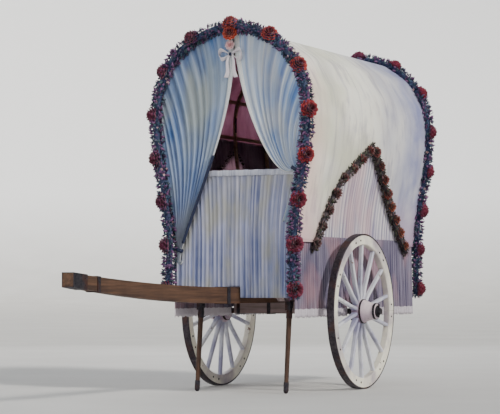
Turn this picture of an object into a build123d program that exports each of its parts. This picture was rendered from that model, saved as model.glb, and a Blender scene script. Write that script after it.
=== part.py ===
from build123d import *
import os
from math import atan, atan2, cos, degrees, hypot, pi, radians, sin, sqrt

# Two-wheeled ox wagon with a horseshoe canvas cover, dressed with curtains, skirts and garlands.
# Millimetres. +X is forward along the draught pole, +Y is the wagon's left, +Z is up.
# The origin is on the ground under the middle of the whole length.

os.makedirs("parts", exist_ok=True)

# Lengthwise stations, measured forward of the axle
HOOP_F = 1200.0  # plane of the first hoop
HOOP_R = -1685.0  # plane of the last hoop
HOOP_COUNT = 5
BED_OVER = 35.0  # the bed runs this far past the end hoops
FACE_OVER = 38.0  # and the valances hang this far past them
VALANCE_T = 10.0
CURTAIN_OVER = 66.0  # and the curtains this far
CURTAIN_T = 16.0
MOUTH_OVER = 100.0  # and the canvas ends this far past them
POLE_TIP = 4200.0

# Paper flowers, from back to face: distance from the garland's centre line, radius
FLOWER_SECTIONS = [(10, 46), (50, 78), (88, 44)]
SMALL_FLOWER_SECTIONS = [(0, 36), (44, 54), (70, 30)]
FLOWER_TILT = 37.0  # degrees that the flowers turn from straight out towards the wagon's end
FLOWER_REACH = max(
    lift * sin(radians(FLOWER_TILT)) + radius * cos(radians(FLOWER_TILT)) for lift, radius in FLOWER_SECTIONS)
AXLE_X = -(POLE_TIP + HOOP_R - MOUTH_OVER - FLOWER_REACH) / 2

# Horseshoe outline of the hoops' outer face
ARCH_R = 745.0  # round top
ARCH_Z = 2660.0  # height of its centre
FOOT_HALF = 604.0  # half width over the straight feet
LEG_DROP = 1330.0  # height over which the legs draw in

# Wheels
WHEEL_R = 760.0
TYRE_T = 16.0
TYRE_W = 72.0
FELLOE_DEPTH = 92.0
FELLOE_W = 68.0
FELLOE_COUNT = 7
SPOKE_COUNT = 14
RIM_Y = 780.0  # wagon's centre line to the middle of the rim
DISH = 24.0  # the spokes' feet stand this far inboard of the rim
JOURNAL_R = 32.0
RUNNING_GAP = 0.06

# Undercarriage and bed
AXLE_Z = WHEEL_R
AXLE_BAR = 56.0
BEAM_Z = 865.0  # underside of the beams
BEAM_H = 130.0
BEAM_W = 75.0
BEAM_Y = 470.0
POLE_HALF_W = 65.0
POLE_H = 150.0
BEARER_H = 60.0
BEARER_W = 70.0
PLANK_T = 25.0
PLANK_SHORT = 15.0  # the planks end this far short of the end hoops' planes, against the end boards
FLOOR_HALF = 524.0
PLANK_COUNT = 6
PLANK_GAP = 4.0
BED_F = HOOP_F + BED_OVER
BED_R = HOOP_R - BED_OVER
POLE_Z = BEAM_Z + BEAM_H - POLE_H  # underside of the pole, let into the bolster
DECK_Z = BEAM_Z + BEAM_H + BEARER_H + PLANK_T  # top of the floor

# Sides and ends
FRAME_IN = 534.0
RAIL_H = 50.0
TOP_RAIL_Z = 1760.0
SLAT_T = 16.0
END_RAIL_Z = 2060.0
END_RAIL_H = 42.0
END_RAIL_T = 36.0

# Cover and cloth, as distances outside the hoops' outer face
HOOP_T = 22.0
HOOP_W = 42.0
HOOP_JOINT = 1.0  # gap between each hoop's bow and its legs
PLATE_T = 3.0
PLATE_IN = 6.0  # the joints' plates are this much narrower than the hoops, a side
PLATE_HALF = 75.0
LATH_LOW_T = 12.0  # laths on the legs, under the skirts
LATH_TOP_T = 30.0  # laths under the canvas
CLOTH_T = 6.0
SKIRT_T = 8.0
SKIRT_TOP_Z = 2560.0
SKIRT_Z = 700.0
COVER_FOOT_Z = 1430.0
VALANCE_Z = 890.0
AXLE_SLIT = 45.0  # half width of the skirts' slits over the axle
POLE_SLOT = 12.0  # clearance of the valances round the pole
GARLAND_R = 58.0
GARLAND_OUT = 48.0  # its centre line outside the hoops
GARLAND_FOOT_Z = 905.0
FLOWER_PITCH = 420.0  # along the garland, from the crown
FLOWER_COUNT = 7  # down each leg, besides the one at the crown
PEAK_GARLAND_W = 90.0
PEAK_GARLAND_T = 50.0
PEAK_FLOWER_PITCH = 400.0

# Peaked opening over each wheel, in the canvas: forward of the axle, height
PEAK = [(880, 1350), (370, 2040), (-270, 2400), (-1490, 1350)]

# Prop legs
PROP_X = 1000.0
PROP_Z = 825.0
PROP_Y = BEAM_Y
PROP_LEAN = 6.0  # degrees, foot forward
PROP_R = 26.0
SHOE_R = 24.0
PROP_PIN_R = 10.0
EYE_HALF = 18.0

parts = {}


def at(forward):
    """Row-frame X of a station given forward of the axle."""
    return AXLE_X + forward


def block(x0, x1, y0, y1, z0, z1):
    """Upright box between two corners."""
    return Pos((x0 + x1) / 2, (y0 + y1) / 2, (z0 + z1) / 2) * Box(x1 - x0, y1 - y0, z1 - z0)


def fuse(shapes):
    """All the shapes as one part."""
    whole = shapes[0]
    for shape in shapes[1:]:
        whole += shape
    return whole


def mirrored(shape):
    """The same shape on the wagon's right."""
    return shape.mirror(Plane.XZ)


# Horseshoe outlines: a round top, two equal arcs that draw each leg in, and a straight foot.
LEG_IN = ARCH_R - FOOT_HALF
LEG_TURN = 2 * atan(LEG_IN / LEG_DROP)
LEG_R = LEG_DROP / (2 * sin(LEG_TURN))
UPPER_C = (ARCH_R - LEG_R, ARCH_Z)
LOWER_C = (FOOT_HALF + LEG_R, ARCH_Z - LEG_DROP)


def polar(centre, radius, angle):
    return (centre[0] + radius * cos(angle), centre[1] + radius * sin(angle))


def leg_points(out):
    """Points down the left leg's outline at a distance out of the hoops' face, with each arc's middle."""
    turn = LEG_TURN
    return [
        (ARCH_R + out, ARCH_Z),
        polar(UPPER_C, LEG_R + out, -turn / 2),
        polar(UPPER_C, LEG_R + out, -turn),
        polar(LOWER_C, -(LEG_R - out), -turn / 2),
        (FOOT_HALF + out, LOWER_C[1]),
    ]


def half_width(out, z):
    """Half width of the outline at height z."""
    if z >= ARCH_Z:
        return sqrt((ARCH_R + out) ** 2 - (z - ARCH_Z) ** 2)
    join = leg_points(out)[2]
    if z >= join[1]:
        return UPPER_C[0] + sqrt((LEG_R + out) ** 2 - (z - ARCH_Z) ** 2)
    if z >= LOWER_C[1]:
        return LOWER_C[0] - sqrt((LEG_R - out) ** 2 - (z - LOWER_C[1]) ** 2)
    return FOOT_HALF + out


def arch_station(out, along):
    """Point and outward direction at a distance along the outline from the crown, positive to the left."""
    side, left = (1 if along >= 0 else -1), abs(along)
    runs = [
        ((0, ARCH_Z), ARCH_R + out, pi / 2),
        (UPPER_C, LEG_R + out, 0),
        (LOWER_C, LEG_R - out, -LEG_TURN),
    ]
    lengths = [(ARCH_R + out) * pi / 2, (LEG_R + out) * LEG_TURN, (LEG_R - out) * LEG_TURN]
    for i, ((centre, radius, start), length) in enumerate(zip(runs, lengths)):
        if left <= length:
            angle = start + left / radius if i == 2 else start - left / radius
            y, z = polar(centre, -radius if i == 2 else radius, angle)
            return (side * y, z), (side * cos(angle), sin(angle))
        left -= length
    return (side * (FOOT_HALF + out), LOWER_C[1] - left), (side, 0)


def arch_edges(out, foot_z):
    """The outline's edges from the left foot over the top to the right foot, in the YZ plane."""
    top, arc1, join, arc2, foot = leg_points(out)
    flip = [(-y, z) for y, z in (top, arc1, join, arc2, foot)]
    return [
        Line((foot[0], foot_z), foot),
        ThreePointArc(foot, arc2, join),
        ThreePointArc(join, arc1, top),
        ThreePointArc(top, (0, ARCH_Z + ARCH_R + out), flip[0]),
        ThreePointArc(flip[0], flip[1], flip[2]),
        ThreePointArc(flip[2], flip[3], flip[4]),
        Line(flip[4], (flip[4][0], foot_z)),
    ]


def arch_solid(outlines, foot_z, x0, x1):
    """Horseshoe from x0 to x1, inside one outline or between two, cut off level at foot_z."""
    base = min(foot_z, LOWER_C[1] - 50)
    feet = [FOOT_HALF + out for out in outlines] + [-FOOT_HALF - outlines[0]]
    edges = [edge for out in outlines for edge in arch_edges(out, base)]
    if len(outlines) == 2:
        edges += [Line((side * feet[0], base), (side * feet[1], base)) for side in (1, -1)]
    else:
        edges.append(Line((feet[0], base), (feet[1], base)))
    face = make_face(Plane.YZ * Curve(children=edges))
    solid = Pos(x0, 0, 0) * extrude(face, amount=x1 - x0, dir=(1, 0, 0))
    if foot_z > base:
        solid &= block(x0 - 1, x1 + 1, -2000, 2000, foot_z, 5000)
    return solid


def arch_band(inner, outer, foot_z, x0, x1):
    """Horseshoe shell between two outlines."""
    return arch_solid([outer, inner], foot_z, x0, x1)


def arch_block(out, foot_z, x0, x1):
    """Solid horseshoe inside one outline."""
    return arch_solid([out], foot_z, x0, x1)


def hoop_stations():
    step = (HOOP_F - HOOP_R) / (HOOP_COUNT - 1)
    return [HOOP_F - i * step for i in range(HOOP_COUNT)]


# Wheel, built about its own centre with the outboard face towards +Y

# Hub outline, in order along the axle: distance outboard of the rim's middle, radius
HUB_PROFILE = [
    (-90, 92),
    (-66, 92),
    (-60, 118),
    (12, 118),
    (16, 112),
    (34, 112),
    (60, 100),
    (120, 78),
    (140, 74),
    (165, 74),
]
# Hub bands: inboard edge, outboard edge, inner radius, outer radius
HUB_BANDS = [
    (-90, -68, 92, 99),
    (16, 32, 112, 119),
    (142, 163, 74, 81),
]


def turned(points):
    """Solid of revolution about the axle from (outboard, radius) points."""
    face = make_face(Polyline([(r, y) for y, r in points], close=True))
    return revolve(face, Axis.Y)


def ring(y0, y1, r0, r1):
    return turned([(y0, r0), (y1, r0), (y1, r1), (y0, r1)])


# Spoke sections from foot to rim: distance from the hub's centre, half width along the axle, half thickness
SPOKE_SECTIONS = [
    (92, 30, 17),
    (170, 29, 17),
    (260, 22, 15),
    (680, 20, 16),
]
SPOKE_CHAMFER = 0.45  # of the half thickness
TENON = 26.0
TENON_L = 70.0
TENON_IN = 20.0  # of its length inside the spoke


def spoke():
    """One spoke standing on +Z: square foot, drawn-in waist, chamfered edges, tenon at the rim."""
    rim_in = WHEEL_R - TYRE_T - FELLOE_DEPTH
    faces = []
    for height, half_y, half_x in SPOKE_SECTIONS:
        cut = SPOKE_CHAMFER * half_x
        corners = [(half_x, half_y - cut), (half_x - cut, half_y),
                   (cut - half_x, half_y), (-half_x, half_y - cut)]
        outline = corners + [(-x, -y) for x, y in corners]
        faces.append(Pos(0, 0, height) * make_face(Polyline(outline, close=True)))
    body = loft(faces, ruled=True)
    foot = HUB_PROFILE[2][1]
    lean = degrees(atan(DISH / (rim_in - foot)))
    body = Pos(0, -DISH, foot) * Rot(-lean, 0, 0) * Pos(0, 0, -foot) * body
    body -= ring(-60, 60, rim_in, WHEEL_R + 20)
    tenon = Pos(0, 0, rim_in + TENON_L / 2 - TENON_IN) * Box(TENON, TENON, TENON_L)
    return body + tenon, tenon


def make_wheel():
    rim_in = WHEEL_R - TYRE_T - FELLOE_DEPTH
    rim_out = WHEEL_R - TYRE_T
    half_w = FELLOE_W / 2
    chamfer_w = 8
    half_joint = 1  # the felloes meet with a gap of 2
    step = 360 / SPOKE_COUNT

    one, tenon = spoke()
    spokes = [Rot(0, i * step, 0) * one for i in range(SPOKE_COUNT)]
    tenons = [Rot(0, i * step, 0) * tenon for i in range(SPOKE_COUNT)]

    hub = turned([(HUB_PROFILE[0][0], JOURNAL_R + RUNNING_GAP), *HUB_PROFILE,
                  (HUB_PROFILE[-1][0], JOURNAL_R + RUNNING_GAP)])
    for each in spokes:
        hub -= each

    rim = turned([
        (-half_w + chamfer_w, rim_in),
        (-half_w, rim_in + chamfer_w),
        (-half_w, rim_out),
        (half_w, rim_out),
        (half_w, rim_in + chamfer_w),
        (half_w - chamfer_w, rim_in),
    ])
    for i in range(FELLOE_COUNT):
        turn = (i + 0.25) * 360 / FELLOE_COUNT
        joint = block(-half_joint, half_joint, -FELLOE_W, FELLOE_W, rim_in - 20, rim_out + 20)
        rim -= Rot(0, turn, 0) * joint
    for each in tenons:
        rim -= each

    tyre = ring(-TYRE_W / 2, TYRE_W / 2, rim_out, WHEEL_R)
    tyre = chamfer(tyre.edges().filter_by(GeomType.CIRCLE).group_by(SortBy.RADIUS)[-1], 3)

    return {
        "hub": hub,
        "hub_bands": Compound(children=[ring(*row) for row in HUB_BANDS]),
        "spokes": Compound(children=spokes),
        "felloes": rim,
        "tyre": tyre,
    }


def add_wheels():
    for name, shape in make_wheel().items():
        placed = Pos(AXLE_X, RIM_Y, AXLE_Z) * shape
        parts[name + "_left"] = placed
        parts[name + "_right"] = mirrored(placed)


# Axle and undercarriage


def add_axle():
    hub_in = RIM_Y + HUB_PROFILE[0][0]
    hub_out = RIM_Y + HUB_PROFILE[-1][0]
    half_bar = AXLE_BAR / 2
    side_play, collar_t, collar_r = 6, 12, 50
    collar_out = hub_in - side_play
    collar_in = collar_out - collar_t
    washer_t, washer_r = 8, 58
    washer_in = hub_out + side_play - 1
    pin_r, pin_l, pin_head_r, pin_head_t = 7, 120, 12, 6
    pin_y = washer_in + washer_t + pin_r - 0.5
    arm_end = hub_out + 42

    bar = block(-half_bar, half_bar, -collar_in, collar_in, -half_bar, half_bar)
    pin_top = pin_l / 2 + pin_head_t
    pin = Pos(0, pin_y, pin_head_t / 2) * Cylinder(pin_r, pin_l + pin_head_t)
    pin += Pos(0, pin_y, pin_top) * Cylinder(pin_head_r, pin_head_t)
    washer = ring(washer_in, washer_in + washer_t, JOURNAL_R, washer_r)
    ends = ring(collar_in, collar_out, 0, collar_r) + ring(collar_out, arm_end, 0, JOURNAL_R) - pin
    stop = pin + washer
    place = Pos(AXLE_X, 0, AXLE_Z)
    parts["axle"] = place * (bar + ends + mirrored(ends))
    parts["linchpins"] = place * Compound(children=[stop, mirrored(stop)])

    # The timber bolster sits over the bar and carries the three lengthwise beams.
    half_x, half_y = 65, 596
    bar_shows = 3  # under the bolster
    low = AXLE_Z - half_bar + bar_shows
    bolster = block(-half_x, half_x, -half_y, half_y, low, BEAM_Z)
    bolster -= block(-half_bar, half_bar, -half_y, half_y, low, AXLE_Z + half_bar)
    bolster -= block(-half_x, half_x, -POLE_HALF_W, POLE_HALF_W, POLE_Z, BEAM_Z)
    bolster = chamfer(bolster.edges().filter_by(Axis.Z).sort_by(Axis.Y)[:4], 12)
    parts["axle_bolster"] = Pos(AXLE_X, 0, 0) * bolster

    strap_t, strap_w = 6, 34
    under = AXLE_Z - half_bar
    straps = []
    strap_drop = 12  # of its top below the beams
    for y in (-540, -200, 200, 540):
        strap = block(-half_x - strap_t, half_x + strap_t, y - strap_w / 2, y + strap_w / 2,
                      under - strap_t, BEAM_Z - strap_drop)
        strap -= block(-half_x, half_x, y - strap_w, y + strap_w, under, BEAM_Z)
        straps.append(Pos(AXLE_X, 0, 0) * strap)
    parts["axle_straps"] = Compound(children=straps)


POLE_BEND = BED_F + 20  # the pole is straight in the bed and curves up from here
POLE_LIFT = 160.0  # rise of its underside at the tip
POLE_TIP_H = 110.0
POLE_TIP_HALF_W = 52.0


def pole_solid(extra):
    """The draught pole, or the same pole grown by extra all round."""
    x0, x1, x2 = at(BED_R), at(POLE_BEND), at(POLE_TIP)
    low, high = POLE_Z - extra, POLE_Z + POLE_H + extra
    tip_low = POLE_Z + POLE_LIFT - extra
    tip_high = POLE_Z + POLE_LIFT + POLE_TIP_H + extra
    side = [
        Line((x0, low), (x1, low)),
        TangentArc((x1, low), (x2, tip_low), tangent=(1, 0)),
        Line((x2, tip_low), (x2, tip_high)),
        TangentArc((x1, high), (x2, tip_high), tangent=(1, 0)),
        Line((x1, high), (x0, high)),
        Line((x0, high), (x0, low)),
    ]
    profile = make_face(Plane.XZ * Curve(children=side))
    wide, tip_wide = POLE_HALF_W + extra, POLE_TIP_HALF_W + extra
    plan = make_face(Polyline(
        [(x0, -wide), (x1, -wide), (x2, -tip_wide), (x2, tip_wide), (x1, wide), (x0, wide)], close=True))
    return extrude(profile, amount=200, both=True) & extrude(plan, amount=1500)


# Holes for the yoke pins, measured back from the pole's tip
YOKE_PIN_R = 16.0
YOKE_PIN_BACK = (110.0, 290.0)
# Iron bands on the pole: front and rear edge, measured back from the tip
POLE_BANDS = [(0, 210), (370, 420), (2700, 2760)]
BAND_T = 6.0


def add_pole():
    pole = pole_solid(0)
    grown = pole_solid(BAND_T)
    bands = []
    for front, rear in POLE_BANDS:
        cut = block(at(POLE_TIP) - rear, at(POLE_TIP) - front, -300, 300, 500, 1500)
        bands.append((grown & cut) - pole)
    for back in YOKE_PIN_BACK:
        hole = Pos(at(POLE_TIP) - back, 0, 1000) * Cylinder(YOKE_PIN_R, 1000)
        pole -= hole
        bands = [band - hole for band in bands]
    parts["pole"] = pole
    parts["pole_bands"] = Compound(children=bands)


def add_bed():
    nose = [
        (at(BED_R), BEAM_Z), (at(BED_F) - 60, BEAM_Z), (at(BED_F), BEAM_Z + 45),
        (at(BED_F), BEAM_Z + BEAM_H), (at(BED_R), BEAM_Z + BEAM_H),
    ]
    side = make_face(Plane.XZ * Polyline(nose, close=True))
    beam = Pos(0, BEAM_Y, 0) * extrude(side, amount=BEAM_W / 2, both=True)
    parts["side_beam_left"] = beam
    parts["side_beam_right"] = mirrored(beam)

    bearer_z = BEAM_Z + BEAM_H
    frame_out = FOOT_HALF - HOOP_T
    bearers = []
    for x in hoop_stations():
        bearer = block(-BEARER_W / 2, BEARER_W / 2, -frame_out, frame_out, bearer_z, bearer_z + BEARER_H)
        ends = bearer.edges().filter_by(Axis.X).group_by(Axis.Z)[0]
        bearers.append(Pos(at(x), 0, 0) * chamfer(ends, 18))
    parts["cross_bearers"] = Compound(children=bearers)

    plank_w = (2 * FLOOR_HALF - (PLANK_COUNT - 1) * PLANK_GAP) / PLANK_COUNT
    planks = []
    for i in range(PLANK_COUNT):
        y = -FLOOR_HALF + i * (plank_w + PLANK_GAP)
        planks.append(block(at(HOOP_R) + PLANK_SHORT, at(HOOP_F) - PLANK_SHORT, y, y + plank_w,
                            DECK_Z - PLANK_T, DECK_Z))
    parts["floor_planks"] = Compound(children=planks)


def add_sides():
    """Side frames of two rails and six stakes, with slats nailed inside, and a staple at each hoop."""
    frame_out = FOOT_HALF - HOOP_T
    rail_z = BEAM_Z + BEAM_H + BEARER_H
    x0, x1 = at(BED_R), at(BED_F)
    pieces = [block(x0, x1, FRAME_IN, frame_out, rail_z, rail_z + RAIL_H),
              block(x0, x1, FRAME_IN, frame_out, TOP_RAIL_Z, TOP_RAIL_Z + RAIL_H)]
    stake_count, stake_w = 6, 46
    pitch = (x1 - x0 - stake_w) / (stake_count - 1)
    for i in range(stake_count):
        x = x0 + i * pitch
        pieces.append(block(x, x + stake_w, FRAME_IN, FRAME_IN + 40, rail_z, TOP_RAIL_Z + RAIL_H))
    frame = fuse(pieces)
    parts["side_frame_left"] = frame
    parts["side_frame_right"] = mirrored(frame)

    slat_count, slat_h, slat_gap = 4, 135, 26
    slats = []
    for i in range(slat_count):
        z = rail_z + RAIL_H + 16 + i * (slat_h + slat_gap)
        slats.append(block(x0, x1, FRAME_IN - SLAT_T, FRAME_IN, z, z + slat_h))
    boards = Compound(children=slats)
    parts["side_slats_left"] = boards
    parts["side_slats_right"] = mirrored(boards)

    staple_t, staple_h = 4, 24
    staples = []
    for x in hoop_stations():
        half = HOOP_W / 2
        staple = block(at(x) - half - staple_t, at(x) + half + staple_t, frame_out, FOOT_HALF + staple_t,
                       rail_z + 12, rail_z + 12 + staple_h)
        staple -= block(at(x) - half, at(x) + half, frame_out, FOOT_HALF, rail_z, rail_z + 100)
        staples += [staple, mirrored(staple)]
    parts["hoop_staples"] = Compound(children=staples)


def add_ends():
    """Boarded ends between the side frames, and the rails across the hoops that the valances hang from."""
    board_t, board_h, gap, batten_t, batten_w = 20, 150, 4, 28, 70
    half = FRAME_IN - SLAT_T - 2
    foot = DECK_Z - PLANK_T
    # The tailboard is lower, for climbing in.
    for (name, x, outward), count in zip(cloth_ends(), (4, 2)):
        inner = -PLANK_SHORT
        near, far = slab(x, outward, inner, inner + board_t)
        boards = [block(near, far, -half, half, z, z + board_h)
                  for z in (foot + i * (board_h + gap) for i in range(count))]
        near, far = slab(x, outward, inner + board_t, inner + board_t + batten_t)
        top = foot + count * (board_h + gap) - gap
        battens = [block(near, far, y - batten_w / 2, y + batten_w / 2, foot, top) for y in (-360, 0, 360)]
        parts[name + "_boards"] = fuse(boards + battens)

    for name, x, outward in cloth_ends():
        near, far = slab(x, outward, FACE_OVER - END_RAIL_T, FACE_OVER)
        bar = block(near, far, -900, 900, END_RAIL_Z, END_RAIL_Z + END_RAIL_H)
        parts[name + "_rail"] = bar & arch_block(-HOOP_T, 1000, near - 10, far + 10)


# Hoops, laths, canvas


def add_hoops():
    """Hoops of a bow and two legs, butted at the springing with an iron plate inside each joint."""
    foot_z = BEAM_Z + BEAM_H + 5
    plates = []
    for i, x in enumerate(hoop_stations()):
        x0, x1 = at(x) - HOOP_W / 2, at(x) + HOOP_W / 2
        joints = block(x0, x1, -1000, 1000, ARCH_Z - HOOP_JOINT / 2, ARCH_Z + HOOP_JOINT / 2)
        parts[f"hoop_{i + 1}"] = arch_band(-HOOP_T, 0, foot_z, x0, x1) - joints
        plate = arch_band(-HOOP_T - PLATE_T, -HOOP_T, foot_z, x0 + PLATE_IN, x1 - PLATE_IN)
        plate &= block(x0, x1, 0, 1000, ARCH_Z - PLATE_HALF, ARCH_Z + PLATE_HALF)
        plates += [plate, mirrored(plate)]
    parts["hoop_plates"] = Compound(children=plates)


def add_laths():
    x0, x1 = at(BED_R), at(BED_F)
    width = 36
    low = arch_band(0, LATH_LOW_T, 1500, x0, x1)
    top = arch_band(0, LATH_TOP_T, 1500, x0, x1)
    mid_x = (x0 + x1) / 2
    laths = []
    for angle in (18, 42, 66, 90, 114, 138, 162):
        y, z = polar((0, ARCH_Z), ARCH_R, radians(angle))
        slot = Pos(mid_x, y, z) * Rot(angle - 90, 0, 0) * Box(4000, width, 120)
        laths.append(top & slot)
    for z in (SKIRT_TOP_Z - 30, 1880):
        for side in (1, -1):
            slot = Pos(mid_x, side * half_width(0, z), z) * Box(4000, 120, width)
            laths.append(low & slot)
    parts["laths"] = Compound(children=laths)


def peak_band(width):
    """A band of the given width along the line of the peaked opening, right across the wagon."""
    pieces = []
    for (xa, za), (xb, zb) in zip(PEAK, PEAK[1:]):
        tilt = degrees(atan2(zb - za, xb - xa))
        run = Box(hypot(xb - xa, zb - za), 3000, width)
        pieces.append(Pos(at((xa + xb) / 2), 0, (za + zb) / 2) * Rot(0, -tilt, 0) * run)
    for x, z in PEAK[1:-1]:
        pieces.append(Pos(at(x), 0, z) * Rot(90, 0, 0) * Cylinder(width / 2, 3000))
    return fuse(pieces)


def cloth_ends():
    """Name, plane of the end hoop and outward direction of each end of the wagon."""
    return (("front", at(HOOP_F), 1), ("rear", at(HOOP_R), -1))


def slab(x, outward, near, far):
    """Lowest and highest X of a layer between two distances outward of the end hoop's plane."""
    return sorted((x + outward * near, x + outward * far))


def add_cloth():
    """The canvas with its peaked openings, the side skirts under it and the valances across the ends."""
    x0, x1 = at(HOOP_R) - MOUTH_OVER, at(HOOP_F) + MOUTH_OVER
    cover = arch_band(LATH_TOP_T, LATH_TOP_T + CLOTH_T, COVER_FOOT_Z, x0, x1)
    opening = make_face(Plane.XZ * Polyline([(at(x), z) for x, z in PEAK], close=True))
    parts["cover"] = cover - extrude(opening, amount=1500, both=True)

    # The skirts hang inside the canvas and behind the wheels, slit for the axle.
    x0, x1 = at(HOOP_R) - FACE_OVER, at(HOOP_F) + FACE_OVER
    band = arch_band(LATH_LOW_T, LATH_LOW_T + SKIRT_T, SKIRT_Z, x0, x1)
    band &= block(-5000, 5000, -2000, 2000, 0, SKIRT_TOP_Z)
    band -= block(AXLE_X - AXLE_SLIT, AXLE_X + AXLE_SLIT, -2000, 2000, 0, AXLE_Z + AXLE_SLIT)
    left, right = sorted(band.solids(), key=lambda solid: -solid.center().Y)
    parts["side_skirt_left"] = left
    parts["side_skirt_right"] = right

    for name, x, outward in cloth_ends():
        near, far = slab(x, outward, FACE_OVER, FACE_OVER + VALANCE_T)
        sheet = arch_block(LATH_TOP_T, VALANCE_Z, near, far)
        sheet &= block(-5000, 5000, -2000, 2000, 0, END_RAIL_Z + END_RAIL_H)
        slot = POLE_HALF_W + POLE_SLOT
        sheet -= block(-5000, 5000, -slot, slot, 0, POLE_Z + POLE_H + POLE_SLOT / 2)
        parts["valance_" + name] = sheet


# Edge of each curtain away from the arch, down from the crown: distance to its own side of the middle, height
CURTAIN_DRAWN = [(6, 3360), (20, 3240), (54, 3064), (104, 2877), (165, 2688), (315, 2345), (397, 2212),
                 (479, 2117), (575, 2040), (604, 1900), (604, 1700), (600, 1420)]
CURTAIN_LOOSE = [(6, 3360), (-12, 3200), (-6, 3010), (30, 2820), (125, 2400), (240, 2095), (370, 1775),
                 (455, 1563), (535, 1330)]


def add_curtains():
    for name, x, outward in cloth_ends():
        near, far = slab(x, outward, CURTAIN_OVER, CURTAIN_OVER + CURTAIN_T)
        for side_name, side, edge in (("left", 1, CURTAIN_DRAWN), ("right", -1, CURTAIN_LOOSE)):
            opening = arch_block(LATH_TOP_T, edge[-1][1], near, far)
            outline = [(side * y, z) for y, z in edge]
            outline += [(side * 900, edge[-1][1]), (side * 900, 3600), (side * edge[0][0], 3600)]
            mask = extrude(make_face(Plane.YZ * Polyline(outline, close=True)), amount=9000, both=True)
            parts[f"curtain_{name}_{side_name}"] = opening & mask


def rosette(origin, facing, sections):
    """An eight-sided flower between three rings."""
    plane = Plane(origin=origin, z_dir=facing)
    rings = [plane * Pos(0, 0, lift) * RegularPolygon(radius, 8) for lift, radius in sections]
    return loft(rings, ruled=True)


def mouth_flower(x, outward, along):
    """A flower on a mouth's garland at a distance from the crown."""
    (y, z), (out_y, out_z) = arch_station(GARLAND_OUT, along)
    tilt = radians(FLOWER_TILT)
    facing = (outward * sin(tilt), out_y * cos(tilt), out_z * cos(tilt))
    return rosette((x, y, z), facing, FLOWER_SECTIONS)


def peak_flowers(out):
    """Small flowers evenly spaced down the peaked opening's line, facing out to the left."""
    flowers = []
    for (xa, za), (xb, zb) in zip(PEAK, PEAK[1:]):
        run = hypot(xb - xa, zb - za)
        count = round(run / PEAK_FLOWER_PITCH)
        for i in range(count):
            share = (i + 0.5) / count
            x, z = at(xa + share * (xb - xa)), za + share * (zb - za)
            flowers.append(rosette((x, half_width(out, z), z), (0, 1, 0), SMALL_FLOWER_SECTIONS))
    return flowers


def add_garlands():
    """Garlands round the two mouths of the canvas and along its peaked openings."""
    canvas = LATH_TOP_T + CLOTH_T
    start = Plane(origin=(0, FOOT_HALF + GARLAND_OUT, GARLAND_FOOT_Z), z_dir=(0, 0, 1))
    for name, x, outward in cloth_ends():
        mouth = x + outward * MOUTH_OVER
        path = Plane.YZ * Wire([e.edge() for e in arch_edges(GARLAND_OUT, GARLAND_FOOT_Z)])
        tube = Pos(mouth, 0, 0) * sweep(start * Circle(GARLAND_R), path=path)
        for i in range(-FLOWER_COUNT, FLOWER_COUNT + 1):
            tube += mouth_flower(mouth, outward, i * FLOWER_PITCH)
        near, far = slab(x, outward, -200, MOUTH_OVER)
        parts["garland_" + name] = tube - arch_block(canvas, 0, near, far)

    shell = arch_band(canvas, canvas + PEAK_GARLAND_T, PEAK[0][1], at(HOOP_R), at(HOOP_F))
    strip = (shell & peak_band(PEAK_GARLAND_W)) & block(-5000, 5000, 0, 2000, 0, 3000)
    strip = fuse([strip, *peak_flowers(canvas + PEAK_GARLAND_T / 3)])
    parts["garland_side_left"] = strip
    parts["garland_side_right"] = mirrored(strip)


def add_bows():
    """A ribbon bow where the two curtains meet at the crown of each end."""
    bow_z, bow_t = 3225, 26
    outline = [(0, 14), (70, 48), (104, 40), (100, -34), (70, -44), (0, -14)]
    loops = outline + [(-y, z) for y, z in reversed(outline[1:-1])]
    face = make_face(Plane.YZ * Polyline(loops, close=True))
    for name, x, outward in cloth_ends():
        bow = extrude(face, amount=bow_t, dir=(outward, 0, 0))
        parts["bow_" + name] = Pos(x + outward * (CURTAIN_OVER + CURTAIN_T), 0, bow_z) * bow


# Prop legs


def along_leg(shape):
    """Places a shape built down -Z from the hinge pin."""
    return Pos(at(PROP_X), PROP_Y, PROP_Z) * Rot(0, -PROP_LEAN, 0) * shape


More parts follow.
